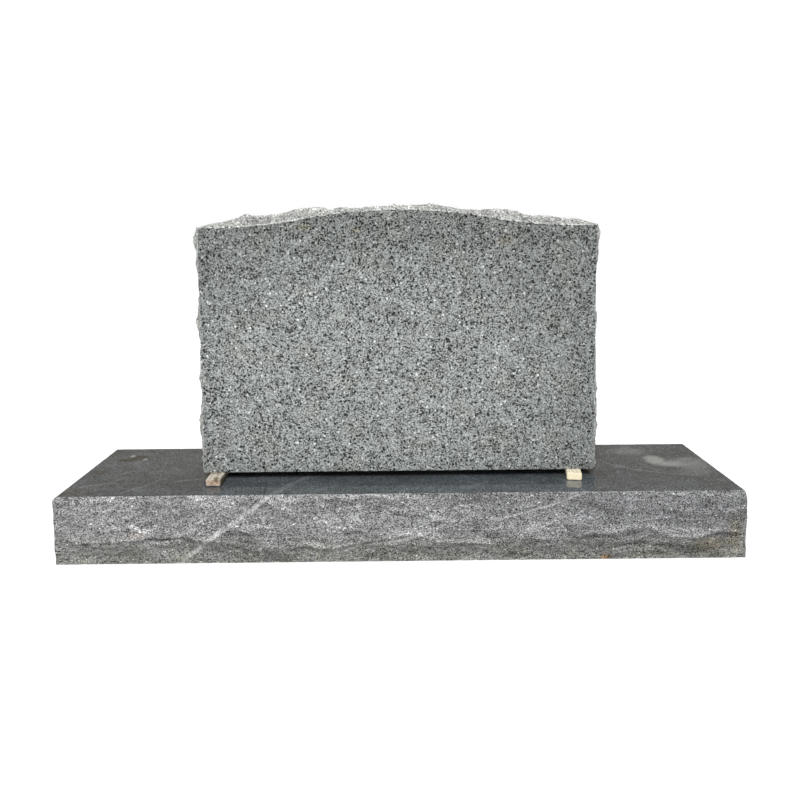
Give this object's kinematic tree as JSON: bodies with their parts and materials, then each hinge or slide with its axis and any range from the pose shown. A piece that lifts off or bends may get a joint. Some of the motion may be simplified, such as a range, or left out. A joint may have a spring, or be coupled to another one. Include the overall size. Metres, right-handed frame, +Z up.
{
  "type": "headstone",
  "caption": "Granite headstone: an upright stone with a serpentine top and rock-pitched edges, set on softwood sticks over a long, low granite base.",
  "frame": {"origin": "middle of the base's flat underside, on the ground", "axes": "+Z up, +X along the base to the right of someone facing the polished front, and the polished front faces -Y"},
  "size_m": [1.5705, 0.4066, 0.7958],
  "materials": {
    "base_granite": "polished top, rock-pitched sides, sawn underside, with paler veins and wisps",
    "upright_granite": "polished front and back, rock-pitched top and sides, sawn underside",
    "weathered_stick": "planed softwood, greyed and dirty",
    "clean_stick": "planed softwood, clean and pale"
  },
  "bodies": {
    "root": {"base": "base_granite", "stick_left": "weathered_stick", "stick_right": "clean_stick", "upright_stone": "upright_granite"}
  },
  "joints": []
}
